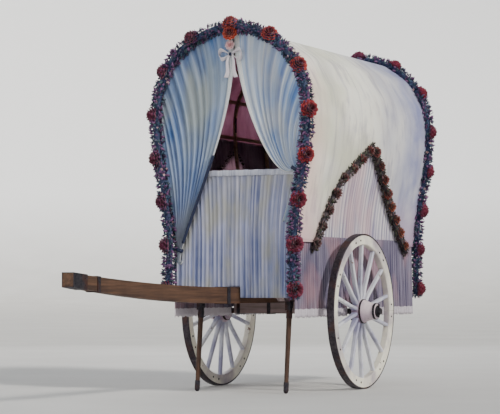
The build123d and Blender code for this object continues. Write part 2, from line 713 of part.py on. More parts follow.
def add_props():
    ear_t, ear_r = 8, 26
    top = BEAM_Z
    half = EYE_HALF + 2 + ear_t
    pieces = [
        block(-45, 60, -half, half, top - 6, top),
        block(36, 44, -half, half, PROP_Z - 46, top),  # stop that the leg leans on
        block(0, 40, -half, -half + ear_t, PROP_Z, top),
        block(0, 40, half - ear_t, half, PROP_Z, top),
    ]
    for side in (1, -1):
        y0, y1 = sorted((side * (EYE_HALF + 2), side * (EYE_HALF + 2 + ear_t)))
        pieces.append(block(-ear_r, ear_r, y0, y1, PROP_Z, top))
        pieces.append(Pos(0, (y0 + y1) / 2, PROP_Z) * Rot(90, 0, 0) * Cylinder(ear_r, ear_t))
    pin = Pos(0, 0, PROP_Z) * Rot(90, 0, 0) * Cylinder(PROP_PIN_R, 2 * (EYE_HALF + ear_t + 8))
    bracket = Pos(at(PROP_X), PROP_Y, 0) * (fuse(pieces) + pin)
    parts["prop_brackets"] = Compound(children=[bracket, mirrored(bracket)])

    shoe_down = (PROP_Z - SHOE_R) / cos(radians(PROP_LEAN))
    wood_top, wood_low = 64, shoe_down - 30
    wood = Pos(0, 0, -(wood_top + wood_low) / 2) * Cone(SHOE_R - 3, PROP_R, wood_low - wood_top)
    tongue = block(-PROP_R, PROP_R, -EYE_HALF, EYE_HALF, -60, 0)
    tongue += Rot(90, 0, 0) * Cylinder(PROP_R, 2 * EYE_HALF)
    ferrule = Pos(0, 0, -90) * Cylinder(PROP_R + 4, 66)
    head = tongue + ferrule - wood - Rot(90, 0, 0) * Cylinder(PROP_PIN_R + RUNNING_GAP, 100)
    shoe = Pos(0, 0, -shoe_down) * Sphere(SHOE_R) + Pos(0, 0, -shoe_down + 40) * Cylinder(SHOE_R + 1, 80)
    shoe -= wood
    for side, turn in (("left", lambda s: s), ("right", mirrored)):
        parts["prop_leg_" + side] = turn(along_leg(wood))
        parts["prop_iron_" + side] = turn(Compound(children=[along_leg(head), along_leg(shoe)]))


add_wheels()
add_axle()
add_pole()
add_bed()
add_sides()
add_ends()
add_hoops()
add_laths()
add_cloth()
add_curtains()
add_garlands()
add_bows()
add_props()

for node, shape in parts.items():
    export_step(Compound(children=shape.solids()), f"parts/{node}.step")
    print(node, len(shape.solids()))
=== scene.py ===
from math import atan, copysign, cos, hypot, pi, radians, sin, sqrt

import bpy
import numpy as np
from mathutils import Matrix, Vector


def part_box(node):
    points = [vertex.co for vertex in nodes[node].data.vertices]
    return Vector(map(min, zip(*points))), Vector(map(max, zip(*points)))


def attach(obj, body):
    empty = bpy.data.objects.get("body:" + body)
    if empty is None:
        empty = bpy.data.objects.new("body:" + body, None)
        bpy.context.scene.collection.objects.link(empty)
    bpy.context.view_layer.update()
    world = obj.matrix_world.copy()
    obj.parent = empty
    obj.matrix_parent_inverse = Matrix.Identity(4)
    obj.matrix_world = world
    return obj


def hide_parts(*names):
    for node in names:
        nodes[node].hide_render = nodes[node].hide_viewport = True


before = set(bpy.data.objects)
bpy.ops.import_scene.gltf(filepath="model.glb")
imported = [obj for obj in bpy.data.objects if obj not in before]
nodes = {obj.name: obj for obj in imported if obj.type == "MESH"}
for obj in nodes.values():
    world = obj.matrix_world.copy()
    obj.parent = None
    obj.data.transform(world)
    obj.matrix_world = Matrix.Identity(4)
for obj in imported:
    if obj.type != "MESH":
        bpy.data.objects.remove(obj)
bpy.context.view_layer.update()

# where things are: the axle, the planes of the end hoops, and the horseshoe line of the hoops' outer face
bolsterLow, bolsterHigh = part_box("axle_bolster")
axleX = (bolsterLow[0] + bolsterHigh[0]) / 2
mouths = {"front": (axleX + 1.200, 1), "rear": (axleX - 1.685, -1)}
sides = {"left": 1, "right": -1}
arch = {"radius": 0.745, "centre": 2.660, "foot": 0.604, "drop": 1.330}
legTurn = 2 * atan((arch["radius"] - arch["foot"]) / arch["drop"])
legRadius = arch["drop"] / (2 * sin(legTurn))
# peaked opening of the canvas, forward of the axle and height
peakLine = [(0.880, 1.350), (0.370, 2.040), (-0.270, 2.400), (-1.490, 1.350)]


def archAt(s, out=0.0):
    # s follows the hoops' outer face from the crown, plus to the left; returns y, z and the outward y, z
    s = np.asarray(s, float)
    side = np.where(s < 0, -1.0, 1.0)
    top = arch["radius"] * pi / 2
    leg = legRadius * legTurn
    t = np.abs(s)
    a = np.clip(t, 0, top) / arch["radius"]
    b = np.clip(t - top, 0, leg) / legRadius
    c = legTurn - np.clip(t - top - leg, 0, leg) / legRadius
    turn = a - pi / 2 + b - (legTurn - c)
    y = arch["radius"] * np.sin(a) - legRadius * (1 - np.cos(b)) + legRadius * (cos(legTurn) - np.cos(c))
    z = arch["centre"] + arch["radius"] * np.cos(a) - legRadius * np.sin(b)
    z = z - legRadius * (sin(legTurn) - np.sin(c)) - np.clip(t - top - 2 * leg, 0, None)
    ny, nz = np.cos(turn), -np.sin(turn)
    return side * (y + out * ny), z + out * nz, side * ny, nz


lineS = np.linspace(0, 3.3, 1651)  # every 2 mm down one side
lineZ = archAt(lineS)[1]


def sAtHeight(z):
    return np.interp(-np.asarray(z, float), -lineZ, lineS)


def halfWidth(z, out=0.0):
    return archAt(sAtHeight(z), out)[0]


def runningSum(steps):
    return np.concatenate([[0], np.cumsum(steps)])


def sAlong(distance, out):
    # the s of a point at a distance along the outline that stands out from the hoops
    y, z, _, _ = archAt(lineS, out)
    run = runningSum(np.hypot(np.diff(y), np.diff(z)))
    return copysign(float(np.interp(abs(distance), run, lineS)), distance)


def xyz(x, y, z):
    return np.stack(np.broadcast_arrays(x, y, z), -1)


def circle(count):
    return np.linspace(0, 2 * pi, count, endpoint=False)


def bezier(t, p0, p1, p2, p3):
    return (1 - t) ** 3 * p0 + 3 * t * (1 - t) ** 2 * p1 + 3 * t * t * (1 - t) * p2 + t ** 3 * p3


def smoothstep(low, high, value):
    t = np.clip((value - low) / (high - low), 0, 1)
    return t * t * (3 - 2 * t)


def folds(a, count, seed):
    # gathers of uneven width and depth, for a from 0 to 1 across the cloth; from -1 to 1
    rng = np.random.default_rng(seed)
    edges = runningSum(1 + 0.35 * rng.uniform(-1, 1, count))
    phase = np.interp(a, edges / edges[-1], np.arange(count + 1))
    depth = np.interp(phase, np.arange(count + 1), 0.62 + 0.38 * rng.uniform(-0.6, 1, count + 1))
    wave = np.sin(2 * pi * phase) + 0.28 * np.sin(4 * pi * phase + rng.uniform(0, 6))
    return depth * wave / 1.2


def ripple(u, v, seed, slow, fast):
    # smooth random waves over two lengths in metres, about -1 to 1
    rng = np.random.default_rng(seed)
    total, count = 0, 9
    for _ in range(count):
        angle, rate, phase = rng.uniform(0, pi), rng.uniform(slow, fast), rng.uniform(0, 6.3)
        total = total + np.sin(rate * (u * cos(angle) + v * sin(angle)) + phase)
    return total / sqrt(count * 1.5)


# meshes

def linked(name, data):
    obj = bpy.data.objects.new(name, data)
    bpy.context.scene.collection.objects.link(obj)
    return obj


def settle(piece, body="root", stands=None):
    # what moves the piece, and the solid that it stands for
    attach(piece, body)
    if stands is not None:
        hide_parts(stands)
    return piece


def setValues(mesh, label, values, kind="FLOAT"):
    layer = mesh.attributes.new(label, kind, "POINT")
    key = "vector" if kind == "FLOAT_VECTOR" else "value"
    layer.data.foreach_set(key, np.asarray(values, np.float32).reshape(-1))


def meshPiece(name, points, faces, *materials):
    mesh = bpy.data.meshes.new(name)
    mesh.from_pydata([tuple(p) for p in points], [], [tuple(int(i) for i in f) for f in faces])
    mesh.validate()
    for each in materials:
        mesh.materials.append(each)
    mesh.polygons.foreach_set("use_smooth", [True] * len(mesh.polygons))
    return linked(name, mesh)


def gridFaces(rows, columns, closed=False):
    i, j = np.meshgrid(np.arange(rows - 1), np.arange(columns if closed else columns - 1), indexing="ij")
    k = (j + 1) % columns
    quads = np.stack([i * columns + j, i * columns + k, (i + 1) * columns + k, (i + 1) * columns + j], -1)
    return quads.reshape(-1, 4)


def bake(obj):
    # the modifiers' result becomes a plain mesh
    depsgraph = bpy.context.evaluated_depsgraph_get()
    mesh = bpy.data.meshes.new_from_object(
        obj.evaluated_get(depsgraph), preserve_all_data_layers=True, depsgraph=depsgraph)
    obj.modifiers.clear()
    obj.data = mesh
    return obj


def thicken(obj, thick, **settings):
    solid = obj.modifiers.new("thickness", "SOLIDIFY")
    solid.thickness = thick
    for key, value in settings.items():
        setattr(solid, key, value)
    return bake(obj)


def sheetPiece(name, points, material, thick=0.002, lining=None, cut=None, flip=False, fold=None):
    # points is rows x columns x 3, and cut marks the faces to leave out; the cloth's own metres go into
    # its UV map, and the height of its folds into an attribute
    rows, columns = points.shape[:2]
    faces = gridFaces(rows, columns)
    if cut is not None:
        faces = faces[~cut.reshape(-1)]
    if flip:
        faces = faces[:, ::-1]
    materials = [material] if lining is None else [material, lining]
    obj = meshPiece(name, points.reshape(-1, 3), faces, *materials)
    u = runningSum(np.linalg.norm(np.diff(points, axis=1), axis=2).mean(axis=0))
    v = runningSum(np.linalg.norm(np.diff(points, axis=0), axis=2).mean(axis=1))
    layer = obj.data.uv_layers.new(name="cloth")
    loops = np.empty(len(obj.data.loops), int)
    obj.data.loops.foreach_get("vertex_index", loops)
    uv = np.stack([u[loops % columns], v[loops // columns]], -1)
    layer.data.foreach_set("uv", uv.astype(np.float32).reshape(-1))
    if fold is not None:
        setValues(obj.data, "fold", np.broadcast_to(fold, (rows, columns)))
    thicken(obj, thick, offset=0, thickness_clamp=0.9, material_offset=len(materials) - 1)
    print("sheet", name, "width", round(float(u[-1]), 3), "length", round(float(v[-1]), 3))
    return obj


def slotFaces(points, axis, middle, half, top):
    # the faces of a sheet that a slot takes away, from its lower edge up to top
    centre = (points[:-1, :-1] + points[1:, 1:]) / 2
    return (np.abs(centre[..., axis] - middle) < half) & (centre[..., 2] < top)


def tubePiece(name, path, radius, material, segments=8):
    # a round bar that follows points, with its ends drawn in and closed
    tangent = np.roll(path, -1, 0) - np.roll(path, 1, 0)
    tangent[0], tangent[-1] = path[1] - path[0], path[-1] - path[-2]
    tangent /= np.linalg.norm(tangent, axis=1)[:, None]
    up = np.array([0.0, 0.0, 1.0]) if abs(tangent[0][2]) < 0.9 else np.array([1.0, 0.0, 0.0])
    turn = circle(segments)[:, None]
    rings = []
    for point, along in zip(path, tangent):
        up = up - along * up.dot(along)
        up /= np.linalg.norm(up)
        rings.append(point + radius * (np.cos(turn) * up + np.sin(turn) * np.cross(along, up)))
    tip, last = len(path) * segments, (len(path) - 1) * segments
    faces = list(gridFaces(len(path), segments, closed=True))
    faces += [[tip, (j + 1) % segments, j] for j in range(segments)]
    faces += [[tip + 1, last + j, last + (j + 1) % segments] for j in range(segments)]
    return meshPiece(name, np.concatenate([*rings, path[:1], path[-1:]]), faces, material)


# shader and geometry nodes

def add(tree, kind, inputs=None, **settings):
    # a node given as an input stands for its first output
    made = tree.nodes.new(kind)
    for key, value in settings.items():
        setattr(made, key, value)
    for key, value in (inputs or {}).items():
        if isinstance(value, bpy.types.Node):
            value = value.outputs[0]
        if isinstance(value, bpy.types.NodeSocket):
            tree.links.new(value, made.inputs[key])
        else:
            made.inputs[key].default_value = value
    return made


def linear(colour):
    # red, green and blue from 0 to 255 become the colour that Blender keeps
    if isinstance(colour, bpy.types.NodeSocket):
        return colour
    channels = [c / 255 for c in colour]
    return tuple(c / 12.92 if c <= 0.04045 else ((c + 0.055) / 1.055) ** 2.4 for c in channels) + (1.0,)


def newMaterial(name, **constants):
    material = bpy.data.materials.new(name)
    material.use_nodes = True
    shader = material.node_tree.nodes["Principled BSDF"]
    for key, value in constants.items():
        shader.inputs[key.replace("_", " ")].default_value = value
    return material, material.node_tree, shader


def coordinates(tree, scale=1, source="Object"):
    texture = add(tree, "ShaderNodeTexCoord")
    return add(tree, "ShaderNodeMapping", {
        "Vector": texture.outputs[source],
        "Scale": scale if isinstance(scale, tuple) else (scale, scale, scale),
    }).outputs["Vector"]


def axes(tree, source="Object"):
    return add(tree, "ShaderNodeSeparateXYZ", {"Vector": coordinates(tree, source=source)}).outputs


def noise(tree, scale, detail=4.0, rough=0.55, source="Object"):
    return add(tree, "ShaderNodeTexNoise", {
        "Vector": coordinates(tree, scale, source),
        "Scale": 1.0,
        "Detail": detail,
        "Roughness": rough,
    }).outputs["Fac"]


def ramp(tree, factor, stops):
    made = add(tree, "ShaderNodeValToRGB", {"Fac": factor})
    band = made.color_ramp
    while len(band.elements) < len(stops):
        band.elements.new(0.5)
    for element, (place, colour) in zip(band.elements, stops):
        element.position = place
        element.color = linear(colour)
    return made.outputs["Color"]


def blend(tree, factor, first, second):
    inputs = {0: factor, 6: linear(first), 7: linear(second)}
    return add(tree, "ShaderNodeMix", inputs, data_type="RGBA").outputs[2]


def maths(tree, how, first, second):
    return add(tree, "ShaderNodeMath", {0: first, 1: second}, operation=how).outputs["Value"]


def plus(tree, first, second):
    return maths(tree, "ADD", first, second)


def times(tree, first, second):
    return maths(tree, "MULTIPLY", first, second)


def remap(tree, value, low, high, start=0.0, end=1.0):
    return add(tree, "ShaderNodeMapRange", {
        "Value": value, "From Min": low, "From Max": high, "To Min": start, "To Max": end}).outputs["Result"]


def bandMask(tree, value, low, high, soft):
    # 1 between low and high, fading to 0 over soft at each end
    return times(tree, remap(tree, value, low - soft, low), remap(tree, value, high, high + soft, 1.0, 0.0))


def attribute(tree, name):
    return add(tree, "ShaderNodeAttribute", attribute_name=name, attribute_type="GEOMETRY").outputs["Fac"]


def finishShader(tree, shader, colour, height, strength, distance):
    tree.links.new(colour, shader.inputs["Base Color"])
    bump = add(tree, "ShaderNodeBump", {"Height": height, "Strength": strength, "Distance": distance})
    tree.links.new(bump.outputs["Normal"], shader.inputs["Normal"])


def clothMaterial(name, light, mid, dark, streak=(26, 1.1), rough=0.85, sheen=0.25, stain=None, tints=(),
                  seams=None, laceEdges=(), through=0.0, foldShading=0.0):
    # streaks run down the folds, mottling is slow, and two crossed waves make the weave; a stain has a scale,
    # an amount and a colour; tints fade in between two places along one axis, laceEdges are bands of the
    # cloth's own u or v, through is how much daylight comes through, and foldShading is how strongly painted
    # shade darkens the folds' valleys and painted highlight lightens their crests
    material, tree, shader = newMaterial(
        name, Roughness=rough, Sheen_Weight=sheen, Sheen_Roughness=0.4, Specular_IOR_Level=0.25,
        Subsurface_Weight=through, Subsurface_Radius=(1.0, 0.8, 0.8), Subsurface_Scale=0.02)
    streaks = noise(tree, (*streak, 1), 5.0, 0.6, "UV")
    slow = noise(tree, 2.2, 3.0)
    colour = ramp(tree, streaks, [(0.36, dark), (0.5, mid), (0.63, light)])
    colour = blend(tree, 0.35, colour, ramp(tree, slow, [(0.38, mid), (0.62, light)]))
    broad = noise(tree, (streak[0] / 5, streak[1] / 2, 1), 2.0, 0.5, "UV")
    colour = blend(tree, remap(tree, broad, 0.5, 0.66, 0.0, 0.4), colour, dark)
    colour = blend(tree, remap(tree, broad, 0.5, 0.36, 0.0, 0.5), colour, light)
    # painted shade in the folds' valleys and painted highlight on their crests
    if foldShading > 0:
        fold = attribute(tree, "fold")
        colour = blend(tree, remap(tree, fold, -0.7, 0.3, foldShading, 0.0), colour, dark)
        colour = blend(tree, remap(tree, fold, 0.3, 0.9, 0.0, foldShading * 0.7), colour, light)
    if stain is not None:
        scale, amount, stainColour = stain
        tinted = remap(tree, noise(tree, scale, 2.0), 0.45, 0.62, 0.0, amount)
        colour = blend(tree, tinted, colour, stainColour)
    place, own = axes(tree), axes(tree, "UV")
    for axis, start, end, amount, tint in tints:
        patchy = remap(tree, slow, 0.3, 0.62, 0.55, 1.0)
        there = times(tree, remap(tree, place[axis], start, end, 0.0, amount), patchy)
        colour = blend(tree, there, colour, tint)
    relief = noise(tree, 9, 6.0, 0.6)
    for axis, low, high, white in laceEdges:
        eyelets = add(tree, "ShaderNodeTexVoronoi", {
            "Vector": coordinates(tree, source="UV"), "Scale": 85.0, "Randomness": 0.25}).outputs["Distance"]
        holes = remap(tree, eyelets, 0.22, 0.36, 0.55, 1.0)
        lace = times(tree, bandMask(tree, own[axis], low, high, 0.004), holes)
        colour = blend(tree, lace, colour, white)
        relief = plus(tree, relief, lace)
    if seams is not None:
        fromSeam = maths(tree, "PINGPONG", plus(tree, own["X"], seams["shift"]), seams["pitch"] / 2)
        ridge = remap(tree, fromSeam, 0.009, 0.012, 1.0, 0.0)
        stitched = bandMask(tree, fromSeam, 0.006, 0.010, 0.001)
        colour = blend(tree, times(tree, stitched, 0.8), colour, dark)
        relief = plus(tree, relief, times(tree, ridge, 1.5))
    threads = [add(tree, "ShaderNodeTexWave", {
        "Vector": coordinates(tree, source="UV"), "Scale": 70.0, "Distortion": 0.6, "Detail": 1.0,
    }, bands_direction=axis).outputs["Fac"] for axis in "XY"]
    woven = times(tree, times(tree, *threads), 0.25)
    finishShader(tree, shader, colour, plus(tree, woven, relief), 0.35, 0.004)
    return material


def woodMaterial(name, light, dark, along, paint=None, rough=0.7):
    # grain is noise drawn out along the timber; paint is a light and a dark colour worn through to the wood
    scale = {"X": (1.2, 26, 26), "Y": (26, 1.2, 26), "Z": (26, 26, 1.2)}[along]
    material, tree, shader = newMaterial(name, Roughness=rough, Specular_IOR_Level=0.35)
    grain = noise(tree, scale, 7.0, 0.65)
    knots = remap(tree, noise(tree, 3, 3.0), 0.4, 0.75, 0.0, 0.5)
    colour = blend(tree, knots, ramp(tree, grain, [(0.32, dark), (0.62, light)]), dark)
    if paint is not None:
        shade = ramp(tree, noise(tree, 2.5, 4.0), [(0.36, paint[1]), (0.56, paint[0])])
        chips = plus(tree, noise(tree, 11, 8.0, 0.7), times(tree, grain, 0.25))
        colour = blend(tree, remap(tree, chips, 0.435, 0.495), colour, shade)
    finishShader(tree, shader, colour, grain, 0.35, 0.002)
    return material


def ironMaterial(name, light, dark, rust, rough=0.5):
    material, tree, shader = newMaterial(name, Metallic=0.7, Specular_IOR_Level=0.5)
    pits = noise(tree, 34, 7.0, 0.7)
    patches = noise(tree, 7, 5.0, 0.6)
    colour = ramp(tree, pits, [(0.35, dark), (0.65, light)])
    colour = blend(tree, remap(tree, patches, 0.5, 0.66, 0.0, 0.75), colour, rust)
    tree.links.new(remap(tree, patches, 0.3, 0.7, rough, rough + 0.3), shader.inputs["Roughness"])
    finishShader(tree, shader, colour, pits, 0.4, 0.0015)
    return material


def petalMaterial(name, stops, heart):
    # each flower's shade value picks its colour, and on the arches it carries painted light and shade;
    # painted shade darkens the folds towards the middle
    material, tree, shader = newMaterial(name, Roughness=0.8, Sheen_Weight=0.3, Specular_IOR_Level=0.25)
    crepe = noise(tree, (160, 160, 60), 4.0)
    depth = remap(tree, attribute(tree, "heart"), 0.15, 0.95)
    colour = blend(tree, depth, heart, ramp(tree, attribute(tree, "shade"), stops))
    colour = blend(tree, remap(tree, crepe, 0.3, 0.7, 0.0, 0.3), colour, heart)
    finishShader(tree, shader, colour, crepe, 0.5, 0.002)
    return material


def leafMaterial(name, stops):
    material, tree, shader = newMaterial(name, Roughness=0.6, Specular_IOR_Level=0.35)
    pick = plus(tree, times(tree, attribute(tree, "shade"), 0.6), times(tree, noise(tree, 7, 2.0), 0.5))
    finishShader(tree, shader, ramp(tree, pick, stops), noise(tree, 120, 3.0), 0.4, 0.001)
    return material


print("materials")
frontX, rearX = mouths["front"][0], mouths["rear"][0]
canvasCream = clothMaterial(
    "canvas", (255, 253, 242), (250, 245, 230), (172, 166, 174), streak=(7, 2.2),
    stain=((0.9, 0.9, 1.4), 0.62, (214, 214, 184)), seams={"pitch": 0.721, "shift": 0.260},
    tints=[("X", frontX - 0.5, frontX + 0.05, 0.65, (244, 182, 174)),
           # painted shade: a cool lilac shadow over the rear of the canvas
           ("X", rearX + 1.4, rearX + 0.2, 0.92, (124, 129, 178)),
           ("Z", 1.95, 1.45, 0.55, (208, 160, 174))])
canvasLining = clothMaterial(
    "canvas_lining", (206, 168, 192), (176, 138, 162), (136, 102, 126), streak=(5, 3), through=0.7)
# painted shade: the blue curtain's colours are darkened and made bluer, as for cloth in shade
curtainBlue = clothMaterial(
    "curtain_blue", (174, 188, 210), (82, 118, 168), (34, 54, 104), streak=(34, 0.7), sheen=0.15,
    stain=((3, 3, 1.2), 0.6, (164, 168, 152)), foldShading=0.45,
    tints=[("Z", 2.2, 1.5, 0.4, (104, 92, 130))], laceEdges=[("X", -0.01, 0.030, (214, 216, 214))])
# painted shade: the white curtain's colours are darkened and made bluer, as for cloth in shade
curtainWhite = clothMaterial(
    "curtain_white", (226, 230, 230), (132, 168, 216), (54, 88, 158), streak=(34, 0.7), sheen=0.15,
    stain=((4, 4, 1.5), 0.4, (200, 194, 178)), foldShading=0.45,
    laceEdges=[("X", -0.01, 0.030, (232, 232, 226))])
valanceBlue = clothMaterial(
    "valance_blue", (208, 206, 222), (134, 144, 182), (58, 68, 116), streak=(30, 0.8),
    stain=((2.5, 5, 2), 0.6, (166, 162, 136)), foldShading=0.45,
    tints=[("Z", 1.8, 2.12, 0.45, (164, 158, 146))])
# painted shade: the skirt's lilac is darkened throughout, as for cloth in shadow
skirtLilac = clothMaterial(
    "skirt_lilac", (158, 150, 168), (98, 91, 117), (52, 46, 74), streak=(30, 0.8),
    stain=((2.2, 2, 2), 0.45, (178, 132, 136)), foldShading=0.5,
    tints=[("Z", 0.95, 0.68, 0.35, (120, 104, 100))], laceEdges=[("Y", 0.690, 0.800, (206, 198, 206))])
laceWhite = clothMaterial(
    "lace_white", (250, 242, 238), (188, 178, 200), (96, 84, 132), streak=(24, 0.9),
    stain=((2.5, 2, 1.5), 0.5, (222, 178, 178)), foldShading=0.7, through=0.3)
headingTape = clothMaterial("heading_tape", (208, 208, 214), (178, 180, 196), (136, 138, 160), streak=(40, 2))
ribbonWhite = clothMaterial(
    "ribbon_white", (248, 244, 242), (232, 222, 226), (196, 186, 198), rough=0.5, sheen=0.5)
ribbonDark = clothMaterial("ribbon_dark", (46, 54, 84), (30, 36, 60), (20, 22, 38), rough=0.55)

# light and dark wood, the way of the grain, and for the wheels their paint and its roughness
bareWheel = ((150, 118, 92), (92, 68, 56), "Z")
woods = {
    "rim_paint": (*bareWheel, ((246, 240, 222), (180, 168, 174)), 0.55),
    # painted shade: the spokes' bluish dark paint and the hub's lilac dark paint are shadow tints
    "spoke_paint_and_shade": (*bareWheel, ((226, 226, 232), (156, 154, 182)), 0.55),
    "hub_paint_and_shade": (*bareWheel, ((232, 214, 216), (168, 144, 166)), 0.55),
    "timber": ((104, 74, 54), (50, 34, 28), "X"),
    "beams": ((172, 150, 148), (98, 84, 86), "X"),
    "beams_cross": ((172, 150, 148), (98, 84, 86), "Y"),
    "timber_leg": ((96, 68, 52), (46, 32, 28), "Z"),
    "boards": ((150, 104, 78), (96, 60, 50), "X"),
    "boards_cross": ((150, 104, 78), (96, 60, 50), "Y"),
    "bent_wood": ((214, 176, 146), (164, 124, 104), "X"),
}
finishes = {name: woodMaterial(name, *values) for name, values in woods.items()}
blackIron = finishes["black_iron"] = ironMaterial("black_iron", (70, 66, 72), (36, 34, 40), (88, 56, 46))
finishes["tyre_iron"] = ironMaterial("tyre_iron", (84, 76, 82), (48, 42, 50), (92, 66, 60), 0.42)

# the first row that a node's name starts with gives its finish
wears = [
    ("hub_left hub_right", "hub_paint_and_shade"),
    ("spokes_", "spoke_paint_and_shade"),
    ("felloes_", "rim_paint"),
    ("tyre_", "tyre_iron"),
    ("hub_bands axle_straps linchpins pole_bands", "black_iron"),
    ("prop_brackets prop_iron hoop_staples hoop_plates", "black_iron"),
    ("axle_bolster cross_bearers front_rail rear_rail", "beams_cross"),
    ("axle", "black_iron"),
    ("prop_leg", "timber_leg"),
    ("pole", "timber"),
    ("side_beam", "beams"),
    ("floor_planks side_frame side_slats", "boards"),
    ("front_boards rear_boards", "boards_cross"),
    ("hoop_ laths", "bent_wood"),
]
for nodeName, node in nodes.items():
    for starts, finish in wears:
        if nodeName.startswith(tuple(starts.split())):
            node.data.materials.clear()
            node.data.materials.append(finishes[finish])
            break

# canvas: one sheet from lower edge to lower edge, cut away under the peaks over the wheels
print("canvas")
canvas = {
    "out": 0.0340, "foot": 1.430, "thick": 0.004, "hem": 0.0055, "rows": 151,
    # where each span of columns starts, forward of the axle, and how many it has
    "spans": [(-1.785, 20), (-1.3971, 46), (-0.270, 26), (0.370, 20), (0.8209, 24), (1.300, 0)],
    # the laths' pitch, the share of it that lies flat on one, and the last lath
    "pitch": 0.312, "flat": 0.07, "last": 0.936,
    "sag": 0.012, "crease": 0.0030, "slack": 0.0024, "pull": 0.002,
}
peakX, peakZ = zip(*sorted(peakLine))


def canvasFoot(x):
    return np.maximum(canvas["foot"], np.interp(x, peakX, peakZ, left=0, right=0))


def canvasOut(x, s):
    # the sheet lies on the laths, sags between them and pulls into soft creases towards its lower edge
    t = np.abs(s)
    share = np.clip(t / canvas["pitch"], 0, 3) % 1
    free = np.clip((np.minimum(share, 1 - share) - canvas["flat"]) / (0.5 - canvas["flat"]), 0, 1)
    between = 1 - (1 - free) ** 2
    lines = np.sin(9.5 * x + 2.2 * np.sin(1.7 * x + 1.0) + 1.6 * t)
    creases = canvas["crease"] * smoothstep(1.0, 1.5, t) * (1 + lines)
    slack = canvas["slack"] * ripple(x, s, 4, 3, 12) * np.maximum(between, smoothstep(0.95, 1.05, t))
    pull = canvas["pull"] * np.sin(pi * np.clip((t - canvas["last"]) / 1.3, 0, 1))
    return canvas["out"] - canvas["sag"] * between - pull + creases + slack


spans = canvas["spans"]
columnX = np.concatenate([*(np.linspace(a, b, n, endpoint=False) for (a, n), (b, _) in zip(spans, spans[1:])),
                          [spans[-1][0]]])
footS = sAtHeight(canvasFoot(columnX))
sheetS = np.linspace(-1, 1, canvas["rows"])[:, None] * footS
y, z, _, _ = archAt(sheetS, canvasOut(columnX, sheetS))
cover = sheetPiece("canvas_sheet", xyz(columnX + axleX, y, z), canvasCream, canvas["thick"], canvasLining)
settle(cover, stands="cover")
for sideName, side in sides.items():
    y, z, _, _ = archAt(side * footS, canvasOut(columnX, footS))
    hem = tubePiece("canvas_hem_" + sideName, xyz(columnX + axleX, y, z), canvas["hem"], canvasCream)
    settle(hem)

# side skirts: a lace panel inside the peak and a gathered flounce below it, slit for the axle
print("skirts")
skirt = {
    "ends": (-1.719, 1.234),
    "lace": {"top": 2.500, "foot": 1.420, "rows": 28, "folds": 44, "per": 8, "mid": 0.0182, "away": -0.0020,
             "deep": 0.0045, "flare": -0.0030, "scallop": 0.0},
    "flounce": {"top": 1.480, "foot": 0.706, "rows": 26, "folds": 56, "per": 9, "mid": 0.0225, "away": 0.012,
                "deep": 0.0015, "flare": 0.0145, "scallop": 0.014},
    "slit": (0.045, 0.805),  # half its width, and its top
}


def skirtGrid(part, side, seed):
    start, end = skirt["ends"]
    a = np.linspace(0, 1, part["folds"] * part["per"])
    x = axleX + start + (end - start) * a
    fall = np.linspace(0, 1, part["rows"])[:, None]
    z = part["top"] + (part["foot"] - part["top"]) * fall
    z = z + part["scallop"] * np.abs(np.sin(pi * a * part["folds"] * 1.5)) * fall ** 6
    wave = folds(a + 0.004 * fall * np.sin(11 * a), part["folds"], seed)
    deep = part["deep"] + part["flare"] * fall ** 0.8
    return xyz(x, side * halfWidth(z, part["mid"] + part["away"] * fall + deep * wave), z), wave


for sideName, side in sides.items():
    points, wave = skirtGrid(skirt["lace"], side, 20 + side)
    lace = sheetPiece("skirt_lace_" + sideName, points, laceWhite, lining=canvasLining, flip=side < 0,
                      fold=wave)
    points, wave = skirtGrid(skirt["flounce"], side, 30 + side)
    slit = slotFaces(points, 0, axleX, *skirt["slit"])
    flounce = sheetPiece("skirt_flounce_" + sideName, points, skirtLilac, cut=slit, flip=side < 0, fold=wave)
    for piece in (lace, flounce):
        settle(piece, stands="side_skirt_" + sideName)

# valances: pleated sheets that hang from the rails across the mouths, slotted for the pole
print("valances")
valance = {
    "top": 2.092, "foot": 0.898, "rows": 40, "folds": 27, "per": 11, "mid": 0.0505, "out": 0.022,
    "deep": (0.0035, 0.0095), "slot": (0.077, 1.001),
}
# the tape that the gathers are sewn to
tape = {"low": 2.045, "high": 2.100, "rows": 7, "columns": 161, "mid": 0.0585, "out": 0.018, "puff": 0.0045,
        "gather": 0.0012, "uneven": 0.002}


def valanceFace(b, z, seed):
    # distance out of the hoop's plane, and the height of the folds
    fall = (valance["top"] - z) / (valance["top"] - valance["foot"])
    lean = (b + 1) / 2 + 0.012 * fall * b + 0.006 * np.sin(2.6 * fall + 3 * b)
    least, most = valance["deep"]
    deep = least + (most - least) * np.clip(fall, 0, 1) ** 0.7
    wave = folds(np.clip(lean, 0, 1), valance["folds"], seed)
    return valance["mid"] + deep * wave, wave


for endName, (plane, outward) in mouths.items():
    seed = 40 + outward
    slotHalf, slotTop = valance["slot"]
    b = np.linspace(-1, 1, valance["folds"] * valance["per"])
    slotShare = slotHalf / (arch["foot"] + valance["out"])
    for edge in (-slotShare, slotShare):
        b[np.argmin(np.abs(b - edge))] = edge
    fall = np.linspace(0, 1, valance["rows"])[:, None]
    z = valance["top"] + (valance["foot"] - valance["top"]) * fall
    z[np.argmin(np.abs(z[:, 0] - slotTop))] = slotTop
    out, wave = valanceFace(b, z, seed)
    points = xyz(plane + outward * out, b * halfWidth(z, valance["out"]), z)
    panel = sheetPiece("valance_cloth_" + endName, points, valanceBlue, flip=outward > 0, fold=wave,
                       cut=slotFaces(points, 1, 0, slotHalf, slotTop))
    settle(panel, stands="valance_" + endName)
    b = np.linspace(-1, 1, tape["columns"])
    across = np.linspace(0, 1, tape["rows"])[:, None]
    z = np.linspace(tape["low"], tape["high"], tape["rows"])[:, None] + tape["uneven"] * np.sin(40 * b)
    puff = tape["puff"] * np.sin(pi * across) + tape["gather"] * np.sin(150 * b + seed)
    points = xyz(plane + outward * (tape["mid"] + puff), b * halfWidth(z, tape["out"]), z)
    head = sheetPiece("valance_heading_" + endName, points, headingTape, flip=outward < 0)
    settle(head)

